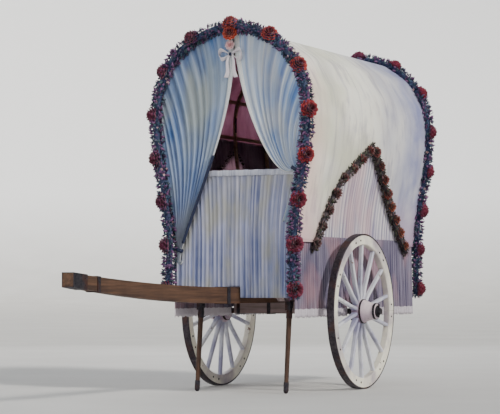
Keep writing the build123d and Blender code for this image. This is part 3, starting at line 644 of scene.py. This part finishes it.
# curtains: a loose one gathered down to the foot of the arch, and one drawn up and tied at its side
print("curtains")
curtain = {
    "mid": 0.080, "out": 0.012, "rows": 64, "per": 13,
    # inner and outer are the edges' control points, and the outer edge starts at reach along the arch;
    # the tail has its middle and its width
    "loose": {
        "flat": (0.72, 1.89), "reach": 1.36, "folds": 12, "deep": (0.006, 0.013, 0.011), "tuck": 0.0,
        "inner": [(0.006, 3.392), (-0.120, 2.800), (0.280, 2.050), (0.535, 1.352)],
        "outer": [(0.742, 2.100), (0.622, 1.760), (0.588, 1.352)], "tail": (0.556, 1.240, 0.068)},
    "drawn": {
        "flat": (0.7, 1.51), "reach": 1.42, "folds": 11, "deep": (0.006, 0.013, 0.009), "tuck": 0.015,
        "inner": [(0.006, 3.392), (0.020, 2.930), (0.400, 1.930), (0.632, 2.085)],
        "outer": [(0.738, 2.340), (0.716, 2.210), (0.686, 2.105)], "tail": (0.578, 1.600, 0.105)},
}


def curtainGrid(part, side, seed):
    a = np.linspace(0, 1, part["folds"] * curtain["per"])
    startY, startZ, _, _ = archAt(part["reach"] * a, curtain["out"])
    controls = [np.stack([startY, startZ], -1)]
    for near, far in zip(part["inner"][1:], part["outer"]):
        controls.append(np.outer(1 - a, near) + np.outer(a, far))
    t = np.linspace(0, 1, curtain["rows"])[:, None, None]
    # below the tie the cloth fans out a little
    tailY, tailZ, spread = part["tail"]
    below = np.linspace(0, 1, 18)[1:, None, None]
    end = np.stack([tailY + spread * (a - 0.5), tailZ + 0.012 * np.sin(9 * a)], -1)
    pull = controls[3] + (controls[3] - controls[2]) * 0.15 + np.array([0.0, -0.1])
    tail = (1 - below) ** 2 * controls[3] + 2 * below * (1 - below) * pull + below * below * end
    line = np.concatenate([bezier(t, *controls), tail])
    fall = np.concatenate([t, 1 + 0.25 * below])[:, 0]
    top, middle, low = part["deep"]
    deep = np.interp(fall, [0, 0.12, 0.55, 1.0, 1.25], [top, 0.010, middle, low, 0.013])
    drift = 0.25 * np.sin(5 * fall + 7 * a)
    height = np.clip(folds(a, part["folds"], seed) + drift, -1.15, 1.15)
    # at the top the drawn one's edge is tucked behind the loose one
    tuck = part["tuck"] * np.interp(a, (0, 0.06, 0.14), (1, 1, 0)) * np.interp(fall, (0.2, 0.4), (1, 0))
    return curtain["mid"] - tuck + deep * height, side * line[..., 0], line[..., 1], height


for endName, (plane, outward) in mouths.items():
    for kind, sideName, cloth in (("drawn", "left", curtainWhite), ("loose", "right", curtainBlue)):
        side = sides[sideName]
        x, y, z, height = curtainGrid(curtain[kind], side, 60 + 3 * outward + side)
        hung = sheetPiece(f"curtain_cloth_{endName}_{sideName}", xyz(plane + outward * x, y, z), cloth,
                          flip=outward * side > 0, fold=height)
        settle(hung, stands=f"curtain_{endName}_{sideName}")

# ties round the gathered curtains, and a dark braid down the loose one's lower edge as painted shade for the
# gap between it and the valance
print("ties")
tie = {
    "wide": 0.034,
    "loose": {"centre": (0.561, 1.352), "half": (0.042, 0.020), "side": -1, "tilt": 0.35},
    "drawn": {"centre": (0.659, 2.095), "half": (0.044, 0.017), "side": 1, "tilt": -0.5},
}
shadowBraid = {"start": 0.58, "end": 0.97, "over": 0.100, "radius": 0.015}


def bandRound(name, part, plane, outward):
    # an oval ribbon band in the plane across the gathered cloth
    turn, tilt = circle(40), part["tilt"]
    rows = []
    for drop in np.linspace(-0.5, 0.5, 6):
        bulge = 1 + 0.05 * cos(pi * drop) + 0.012 * np.sin(7 * turn + 5 * drop)
        along, rise = part["half"][0] * np.cos(turn) * bulge, drop * tie["wide"]
        y = part["centre"][0] + along * cos(tilt) - rise * sin(tilt)
        z = part["centre"][1] + along * sin(tilt) + rise * cos(tilt)
        x = plane + outward * (curtain["mid"] + part["half"][1] * np.sin(turn) * bulge)
        rows.append(xyz(x, part["side"] * y, z))
    band = meshPiece(name, np.concatenate(rows), gridFaces(len(rows), len(turn), closed=True), ribbonDark)
    settle(thicken(band, 0.002))


for endName, (plane, outward) in mouths.items():
    for kind in ("loose", "drawn"):
        bandRound(f"tie_{kind}_{endName}", tie[kind], plane, outward)
    # painted shade: the braid darkens the gap between the loose curtain and the valance
    t = np.linspace(shadowBraid["start"], shadowBraid["end"], 40)[:, None]
    edge = bezier(t, *np.array(curtain["loose"]["inner"]))
    path = xyz(plane + outward * shadowBraid["over"], -edge[:, 0], edge[:, 1])
    settle(tubePiece("curtain_braid_" + endName, path, shadowBraid["radius"], ribbonDark, 10))

# leaves and flowers: small templates, set out by two node trees
print("garlands")


def leafForm(long, wide, cup, thick):
    # a closed leaf from its stalk along X: edges up by cup, ridge below
    points = [(0, 0, 0), (long, 0, cup * 0.6)]
    for share, part in ((0.28, 0.85), (0.62, 0.9)):
        half, lift = wide / 2 * part, cup * sin(pi * share)
        ridge = lift - cup * 0.35
        points += [(long * share, half, lift), (long * share, -half, lift),
                   (long * share, 0, ridge + thick), (long * share, 0, ridge - thick)]
    faces = [(0, 4, 2), (0, 3, 4), (0, 2, 5), (0, 5, 3), (2, 4, 8, 6), (4, 3, 7, 8), (5, 2, 6, 9),
             (3, 5, 9, 7), (6, 8, 1), (8, 7, 1), (9, 6, 1), (7, 9, 1)]
    return np.array(points, float), faces


def gathered(forms):
    points, faces, start = [], [], 0
    for formPoints, formFaces in forms:
        points.append(formPoints)
        faces += [[start + i for i in f] for f in formFaces]
        start += len(formPoints)
    return np.concatenate(points), faces


def spun(form, turn, tilt, lift=0.0):
    points, faces = form
    x, y, z = points.T
    x, z = x * cos(tilt) - z * sin(tilt), x * sin(tilt) + z * cos(tilt)
    c, s = cos(turn), sin(turn)
    return np.stack([x * c - y * s, x * s + y * c, z + lift], -1), faces


def template(name, form, material, heart=0):
    # heart is 1 over a flower's radius, for an attribute that grows from its middle to its rim
    piece = meshPiece(name, *form, material)
    if heart > 0:
        setValues(piece.data, "heart", np.clip(np.hypot(form[0][:, 0], form[0][:, 1]) * heart, 0, 1))
    return piece


def ruffleForm(inner, outer, low, high, waves, deep, phase, segments, rings):
    # one crimped paper disc, from its dished middle to its wavy rim, with a little thickness
    share = np.linspace(0, 1, rings)[:, None]
    turn = circle(segments)
    wave = np.sin(waves * turn + phase) + 0.4 * np.sin((2 * waves + 3) * turn + 2 * phase)
    radius = inner + (outer - inner) * share * (1 + 0.07 * share * np.sin(waves * turn + phase + 1.3))
    height = low + (high - low) * share ** 1.6 + deep * share ** 1.5 * wave
    points = xyz(radius * np.cos(turn), radius * np.sin(turn), height)
    under = points - np.array([0, 0, 0.02])
    size, rim = rings * segments, (rings - 1) * segments
    grid = gridFaces(rings, segments, closed=True)
    faces = [f[::-1] for f in grid] + [size + f for f in grid]
    inside = [[j, (j + 1) % segments, size + (j + 1) % segments, size + j] for j in range(segments)]
    return np.concatenate([points.reshape(-1, 3), under.reshape(-1, 3)]), faces + inside + [
        [rim + i for i in f[::-1]] for f in inside]


def flowerTemplate(name, layers, segments, rings, material, seed):
    rng = np.random.default_rng(seed)
    forms = [ruffleForm(*row, rng.uniform(0, 6), segments, rings) for row in layers]
    return template(name, gathered(forms), material, 1)


def pieceTree(name, sockets):
    tree = bpy.data.node_groups.new(name, "GeometryNodeTree")
    for label, kind in {"Geometry": "Geometry", **sockets}.items():
        tree.interface.new_socket(label, in_out="INPUT", socket_type="NodeSocket" + kind)
    tree.interface.new_socket("Geometry", in_out="OUTPUT", socket_type="NodeSocketGeometry")
    return tree, add(tree, "NodeGroupInput").outputs


def turnedBy(tree, stand, euler):
    # a rotation, and then a turn about its own axes
    inputs = {"Rotation": stand, "Rotate By": add(tree, "FunctionNodeEulerToRotation", {"Euler": euler})}
    return add(tree, "FunctionNodeRotateRotation", inputs, rotation_space="LOCAL")


def setOut(tree, points, form, rotation, scale):
    shape = add(tree, "GeometryNodeObjectInfo", {"Object": form})
    return add(tree, "GeometryNodeInstanceOnPoints", {
        "Points": points, "Instance": shape.outputs["Geometry"], "Rotation": rotation, "Scale": scale})


def finishTree(tree, instances, finish):
    plain = add(tree, "GeometryNodeRealizeInstances", {"Geometry": instances})
    painted = add(tree, "GeometryNodeSetMaterial", {"Geometry": plain, "Material": finish})
    add(tree, "NodeGroupOutput", {"Geometry": painted})
    return tree


def scatterTree():
    # many small pieces at random over a host's faces, tilted up from them
    tree, given = pieceTree("scatter", {
        "Form": "Object", "Finish": "Material", "Density": "Float", "Smallest": "Float", "Largest": "Float",
        "Lean": "Float", "Spread": "Float", "Seed": "Int"})
    spots = add(tree, "GeometryNodeDistributePointsOnFaces", {
        "Mesh": given["Geometry"], "Density": given["Density"], "Seed": given["Seed"]})
    back = maths(tree, "SUBTRACT", times(tree, given["Lean"], -1.0), given["Spread"])
    forward = maths(tree, "SUBTRACT", given["Spread"], given["Lean"])
    least = add(tree, "ShaderNodeCombineXYZ", {"X": -0.5, "Y": back, "Z": 0.0})
    most = add(tree, "ShaderNodeCombineXYZ", {"X": 0.5, "Y": forward, "Z": 2 * pi})
    tilt = add(tree, "FunctionNodeRandomValue", {0: least, 1: most, 8: given["Seed"]},
               data_type="FLOAT_VECTOR")
    size, shade = [add(tree, "FunctionNodeRandomValue", {2: low, 3: high, 8: given["Seed"]},
                       data_type="FLOAT").outputs[1]
                   for low, high in ((given["Smallest"], given["Largest"]), (0.0, 1.0))]
    stand = turnedBy(tree, spots.outputs["Rotation"], tilt)
    marked = add(tree, "GeometryNodeStoreNamedAttribute", {
        "Geometry": setOut(tree, spots, given["Form"], stand, size), "Name": "shade", "Value": shade},
        data_type="FLOAT", domain="INSTANCE")
    return finishTree(tree, marked, given["Finish"])


def placeTree():
    # one piece at each point of the host, turned to the point's own direction, size and spin
    tree, given = pieceTree("place", {"Form": "Object", "Finish": "Material", "Scale": "Float"})
    stored = {"facing": "FLOAT_VECTOR", "spin": "FLOAT", "size": "FLOAT"}
    facing, spin, size = [add(tree, "GeometryNodeInputNamedAttribute", {"Name": label}, data_type=kind)
                          for label, kind in stored.items()]
    stand = add(tree, "FunctionNodeAlignRotationToVector", {"Vector": facing}, axis="Z")
    stand = turnedBy(tree, stand, add(tree, "ShaderNodeCombineXYZ", {"Z": spin}))
    placed = setOut(tree, given["Geometry"], given["Form"], stand, times(tree, size, given["Scale"]))
    return finishTree(tree, placed, given["Finish"])


scattering = scatterTree()
placing = placeTree()


def grow(host, tree, values):
    modifier = host.modifiers.new(tree.name, "NODES")
    modifier.node_group = tree
    for item in tree.interface.items_tree:
        if item.in_out == "INPUT" and item.name in values:
            modifier[item.identifier] = values[item.name]
    return bake(host)


def strewn(name, core, form, finish, part, seed):
    # leaves or small flowers all over a copy of the core, or over one that is drawn larger by lift
    host = linked(name, core.data.copy())
    if part["lift"] > 0:
        for v in host.data.vertices:
            v.co += v.normal * part["lift"]
    return grow(host, scattering, {
        "Form": form, "Finish": finish, "Density": part["density"], "Smallest": part["size"][0],
        "Largest": part["size"][1], "Lean": part["lean"], "Spread": part["spread"], "Seed": seed})


def placed(name, places, facing, sizes, shades, seed, form, finish):
    mesh = bpy.data.meshes.new(name)
    mesh.from_pydata([tuple(p) for p in places], [], [])
    setValues(mesh, "facing", facing, "FLOAT_VECTOR")
    spins = np.random.default_rng(seed).uniform(0, 6.28, len(places))
    for label, values in (("size", sizes), ("shade", shades), ("spin", spins)):
        setValues(mesh, label, values)
    return grow(linked(name, mesh), placing, {"Form": form, "Finish": finish, "Scale": 1.0})


petalRed = petalMaterial(
    "petals_red", [(0.0, (104, 48, 82)), (0.35, (142, 54, 78)), (0.65, (176, 50, 64)), (1.0, (220, 92, 62))],
    (86, 24, 42))
petalRust = petalMaterial(
    "petals_rust", [(0.0, (126, 98, 96)), (0.35, (138, 82, 76)), (0.6, (146, 62, 54)), (1.0, (196, 104, 66))],
    (76, 40, 44))
petalWhite = petalMaterial(
    "petals_white", [(0.0, (244, 232, 236)), (1.0, (240, 206, 206))], (206, 150, 150))
leavesBlue = leafMaterial("leaves_blue", [
    (0.2, (44, 50, 84)), (0.4, (66, 84, 110)), (0.52, (72, 96, 100)), (0.66, (100, 66, 104)),
    (0.95, (130, 88, 128))])
leavesBrown = leafMaterial("leaves_brown", [
    (0.2, (64, 58, 66)), (0.45, (88, 74, 74)), (0.65, (76, 84, 70)), (0.9, (112, 78, 84))])

leaf = template("leaf_form", leafForm(1.0, 0.42, 0.16, 0.02), leavesBlue)
blossom = template("blossom_form", gathered(
    [spun(leafForm(0.5, 0.34, 0.1, 0.015), turn, 0.25) for turn in circle(5)]
    + [spun(leafForm(0.22, 0.16, 0.06, 0.02), turn, 1.0, 0.02) for turn in circle(4)]), petalWhite, 2)
# crimped discs in a unit flower: inner and outer radius, inner and outer height, waves, depth
bigLayers = [
    (0.05, 1.0, 0.1, 0.34, 11, 0.075), (0.05, 0.9, 0.22, 0.6, 10, 0.075), (0.04, 0.74, 0.34, 0.86, 9, 0.075),
    (0.03, 0.54, 0.46, 1.06, 7, 0.065), (0.03, 0.3, 0.6, 1.16, 5, 0.05)]
smallLayers = [
    (0.05, 1.0, 0.1, 0.4, 8, 0.09), (0.04, 0.8, 0.28, 0.8, 7, 0.09), (0.04, 0.48, 0.45, 1.1, 5, 0.07)]
bigFlower = flowerTemplate("flower_form", bigLayers, 56, 5, petalRed, 5)
smallFlower = flowerTemplate("small_flower_form", smallLayers, 32, 4, petalRust, 6)

garland = {
    "out": 0.050, "over": 0.106, "core": 0.034, "foot": 0.915, "wander": 0.004,
    "leaves": {"density": 2400, "size": (0.042, 0.062), "lean": 0.75, "spread": 0.4, "lift": 0},
    "blossoms": {"density": 34, "size": (0.026, 0.040), "lean": 0.75, "spread": 0.4, "lift": 0.026},
    # the large flowers: distance apart, how many each side of the crown, where they stand, tilt and radius
    "pitch": 0.420, "count": 7, "stand": (0.100, 0.048), "tilt": 37.0, "crownTilt": 30, "flower": 0.088,
    # a second flower at the crown stands lower and in front
    "second": {"over": 0.118, "y": 0.006, "z": 3.378, "size": 0.072},
}

for endName, (plane, outward) in mouths.items():
    lowS = float(sAtHeight(garland["foot"]))
    s = np.linspace(-lowS, lowS, 260)
    y, z, ny, nz = archAt(s, garland["out"])
    wander = garland["wander"] * np.sin(9 * s + outward)
    path = xyz(plane + outward * garland["over"] + wander, y + wander * ny, z + wander * nz)
    core = tubePiece("garland_core_" + endName, path, garland["core"], leavesBlue)
    leaves = strewn("garland_leaves_" + endName, core, leaf, leavesBlue, garland["leaves"], 3 + outward)
    blossoms = strewn("garland_blossoms_" + endName, core, blossom, petalWhite,
                      garland["blossoms"], 9 + outward)
    rng = np.random.default_rng(12 + outward)
    over, out = garland["stand"]
    places, facing, shades, sizes = [], [], [], []
    for i in range(-garland["count"], garland["count"] + 1):
        y, z, ny, nz = (float(v) for v in archAt(sAlong(i * garland["pitch"], out), out))
        tilt = radians((garland["tilt"] if i else garland["crownTilt"]) + rng.uniform(-8, 8))
        places.append((plane + outward * over, y, z))
        facing.append((outward * sin(tilt), ny * cos(tilt), nz * cos(tilt)))
        # painted light and shade: in front the flowers on the sunlit left side and the crown are brighter and
        # those on the shaded right side darker, the lowest flowers are duller, and at the back all are
        # darker, the left ones less so
        paintedLight = float(np.interp(i, (4, 6), (0.72, 0.3))) if i > 0 else 0.12
        if i == 0:
            paintedLight = 0.85
        if outward < 0:
            paintedLight = 0.15 + 0.25 * (i > 0)
        shades.append(paintedLight + rng.uniform(-0.1, 0.1))
        sizes.append(garland["flower"] * rng.uniform(0.94, 1.03))
    second = garland["second"]
    places.append((plane + outward * second["over"], second["y"], second["z"]))
    facing.append((outward, 0.1, 0.45))
    # painted light: the second crown flower is bright in front and darker at the back
    shades.append(1.0 if outward > 0 else 0.3)
    sizes.append(second["size"])
    flowers = placed("garland_flowers_" + endName, places, facing, sizes, shades, 5, bigFlower, petalRed)
    settle(leaves, stands="garland_" + endName)
    for piece in (core, blossoms, flowers):
        settle(piece)

peak = {
    "out": 0.056, "core": 0.024, "pitch": 0.200, "flower": 0.056, "flowerOut": 0.058,
    "leaves": {"density": 2800, "size": (0.034, 0.050), "lean": 0.7, "spread": 0.3, "lift": 0},
}
runs = [hypot(b[0] - a[0], b[1] - a[1]) for a, b in zip(peakLine, peakLine[1:])]
marks = runningSum(runs)
end = marks[-1]


def peakAt(distance, side, out):
    # points along the peaked opening's edge
    x, z = (np.interp(distance, marks, values) for values in zip(*peakLine))
    return xyz(axleX + x, side * halfWidth(z, out), z)


for sideName, side in sides.items():
    path = peakAt(np.linspace(0.01, end - 0.01, 140), side, peak["out"])
    core = tubePiece("peak_core_" + sideName, path, peak["core"], leavesBrown)
    leaves = strewn("peak_garland_" + sideName, core, leaf, leavesBrown, peak["leaves"], 20 + side)
    d = np.arange(0.08, end, peak["pitch"])
    rng = np.random.default_rng(30 + side)
    facing = xyz(rng.uniform(-0.3, 0.3, len(d)), side, rng.uniform(-0.1, 0.4, len(d)))
    shades = np.clip(d / end * 1.1 + rng.uniform(-0.12, 0.12, len(d)), 0, 1)
    sizes = peak["flower"] * rng.uniform(0.85, 1.1, len(d))
    flowers = placed("peak_flowers_" + sideName, peakAt(d, side, peak["flowerOut"]), facing, sizes, shades, 7,
                     smallFlower, petalRust)
    settle(leaves, stands="garland_side_" + sideName)
    for piece in (core, flowers):
        settle(piece)

# forged nail heads, seated where a ray meets the iron or wood they hold
print("nails")
nail = {
    # bolts through the felloes: radius of their ring, degrees each side of a joint, and the wheel's middle
    "ring": 0.698, "spread": 5.0, "felloes": 7, "wheelY": 0.78, "wheelZ": 0.76, "bolt": 0.011,
    # nails in the pole's bands: the pole's tip, each band's distance behind it and height, and their size
    "tip": 4.2, "bands": [(0.030, 1.056), (0.180, 1.043), (0.395, 1.018), (2.730, 0.928)], "rise": 0.028,
    "small": 0.006, "sunk": 0.0004,
    "profile": [(1.0, 0.0), (0.92, 0.3), (0.55, 0.55)], "crown": 0.62, "segments": 10,
}
count = nail["segments"]
crown = len(nail["profile"]) * count
headPoints = [(r * cos(a), r * sin(a), h) for r, h in nail["profile"] for a in circle(count)]
headFaces = [*gridFaces(len(nail["profile"]), count, closed=True),
             *([crown - count + j, crown - count + (j + 1) % count, crown] for j in range(count)),
             range(count - 1, -1, -1)]
nailHead = template("nail_head", (headPoints + [(0, 0, nail["crown"])], headFaces), blackIron)


def hammered(name, body, spots, size, seed):
    # spots are node, start of the ray and its direction
    places, facing = [], []
    for nodeName, start, way in spots:
        hit, where, normal, _ = nodes[nodeName].ray_cast(Vector(start), Vector(way))
        if hit:
            places.append(where - normal * nail["sunk"])
            facing.append(normal)
    sizes = size * np.random.default_rng(seed).uniform(0.92, 1.06, len(places))
    heads = placed(name, places, facing, sizes, np.zeros(len(places)), seed, nailHead, blackIron)
    settle(heads, body)


for sideName, side in sides.items():
    spots = []
    for joint in range(nail["felloes"]):
        for step in (-1, 1):
            turn = radians((joint + 0.25) * 360 / nail["felloes"] + step * nail["spread"])
            x, z = axleX + nail["ring"] * sin(turn), nail["wheelZ"] + nail["ring"] * cos(turn)
            for face in (1, -1):
                start = (x, side * nail["wheelY"] + face * 0.1, z)
                spots.append(("felloes_" + sideName, start, (0, -face, 0)))
    hammered("wheel_bolts_" + sideName, "wheel_" + sideName, spots, nail["bolt"], 3)
spots = []
for back, middle in nail["bands"]:
    for rise in (-nail["rise"], nail["rise"]):
        for face in (1, -1):
            start = (axleX + nail["tip"] - back, face * 0.4, middle + rise)
            spots.append(("pole_bands", start, (0, -face, 0)))
hammered("pole_nails", "root", spots, nail["small"], 4)

# ribbon bows at the crowns, with a pale flower above each
print("bows")
bow = {"z": 3.195, "over": 0.104, "loop": 0.118, "high": 0.052, "tail": 0.220, "thick": 0.0015, "knot": 0.017,
       "flower": {"over": 0.108, "z": 3.275, "size": 0.046}}


def ribbonStrip(line, width):
    # line and width are n x 3: the ribbon's middle and its half width each way
    points = np.concatenate([line + width * share for share in (-1, -0.5, 0, 0.5, 1)])
    return thicken(meshPiece("strip", points, gridFaces(5, len(line)), ribbonWhite), bow["thick"])


for endName, (plane, outward) in mouths.items():
    base = np.array([plane + outward * bow["over"], 0, bow["z"]])
    parts = []
    for side in (1, -1):
        t = np.linspace(0, 1, 33)
        rise = np.sin(pi * t)
        reach = bow["loop"] * rise ** 0.8
        height = bow["high"] * np.sin(2 * pi * t) * (0.7 + 0.3 * t)
        parts.append(ribbonStrip(base + xyz(outward * 0.008 * rise, side * reach, height + 0.012 * reach),
                                 xyz(outward * (0.009 + 0.011 * rise), 0, 0.004 + 0.016 * rise)))
        t = np.linspace(0, 1, 17)
        sway = side * (0.010 + 0.045 * t + 0.01 * np.sin(6 * t))
        parts.append(ribbonStrip(base + xyz(outward * 0.006 * np.sin(5 * t), sway, -bow["tail"] * t),
                                 xyz(0.002 * outward, side * (0.008 + 0.014 * t), 0.003)))
    bpy.ops.object.select_all(action="DESELECT")
    for piece in parts:
        piece.select_set(True)
    bpy.context.view_layer.objects.active = ribbon = parts[0]
    bpy.ops.object.join()
    ribbon.name = "bow_ribbon_" + endName
    knotPath = base + xyz(outward * 0.006, np.linspace(-0.010, 0.010, 9), 0)
    knot = tubePiece("bow_knot_" + endName, knotPath, bow["knot"], ribbonDark, 12)
    top = bow["flower"]
    pale = placed("crown_flower_" + endName, [(plane + outward * top["over"], 0, top["z"])],
                  [(outward, 0, 0.2)], [top["size"]], [0.8], 3, smallFlower, petalWhite)
    settle(ribbon, stands="bow_" + endName)
    settle(knot)
    settle(pale)
for each in (leaf, blossom, bigFlower, smallFlower, nailHead):
    bpy.data.objects.remove(each)

# floor, light and camera
print("stage")
# the backdrop gets paler as it rises out of the light
floorGrey, tree, shader = newMaterial("floor", Roughness=0.9)
mottled = ramp(tree, noise(tree, 0.6, 5.0), [(0.3, (206, 204, 200)), (0.7, (216, 214, 210))])
paler = blend(tree, remap(tree, axes(tree)["Z"], 0.0, 6.0), mottled, (255, 255, 255))
tree.links.new(paler, shader.inputs["Base Color"])
studio = {"hole": 0.3, "near": 20.0, "flat": 70.0, "curve": 30.0, "top": 60.0, "sides": 96}
profile = [(studio["hole"], 0.0), (studio["near"], 0.0)]
for bend in np.radians(np.arange(0, 91, 10)):
    profile.append((studio["flat"] + studio["curve"] * sin(bend), studio["curve"] * (1 - cos(bend))))
profile.append((studio["flat"] + studio["curve"], studio["top"]))
points = [(r * cos(a), r * sin(a), z) for r, z in profile for a in circle(studio["sides"])]
faces = [f[::-1] for f in gridFaces(len(profile), studio["sides"], closed=True)] + [range(studio["sides"])]
meshPiece("floor", points, faces, floorGrey)

world = bpy.data.worlds.new("studio")
bpy.context.scene.world = world
world.use_nodes = True
background = world.node_tree.nodes["Background"]
background.inputs["Color"].default_value = linear((216, 224, 232))
background.inputs["Strength"].default_value = 0.5


def aimed(name, data, place, towards):
    obj = linked(name, data)
    obj.location = place
    obj.rotation_euler = towards.to_track_quat("-Z", "Y").to_euler()
    return obj


# a broad sun from the wagon's left, and soft boxes in front and behind; size is an angle for the sun
lights = {
    "key": ("SUN", (1.0, 10.0, 8.0), radians(12), 4.0, (1.0, 0.97, 0.92)),
    "fill": ("AREA", (12.0, -1.0, 6.0), 8.0, 400, (0.86, 0.92, 1.0)),
    "back": ("AREA", (-11.0, -5.0, 7.0), 8.0, 300, (0.95, 0.95, 1.0)),
}
for name, (kind, place, across, power, colour) in lights.items():
    lamp = bpy.data.lights.new(name, kind)
    if kind == "SUN":
        lamp.angle = across
    else:
        lamp.size = across
    lamp.energy = power
    lamp.color = colour
    aimed(name, lamp, place, Vector((axleX, 0, 1.5)) - Vector(place))

# the photograph's viewing angle: 25 degrees off the front, eye height 1.02 m, 19.2 m from the axle
view = {"azimuth": 25.1, "distance": 19.19, "height": 1.023, "right": -0.0206, "up": 0.0404, "lens": 138}
turn = radians(view["azimuth"])
ahead = Vector((-cos(turn), -sin(turn), 0))
right = Vector((-sin(turn), cos(turn), 0))
lens = bpy.data.cameras.new("camera")
lens.lens = view["lens"]
lens.clip_end = 300
place = Vector((axleX, 0, view["height"])) - ahead * view["distance"]
towards = ahead + right * view["right"] + Vector((0, 0, view["up"]))
bpy.context.scene.camera = aimed("camera", lens, place, towards)
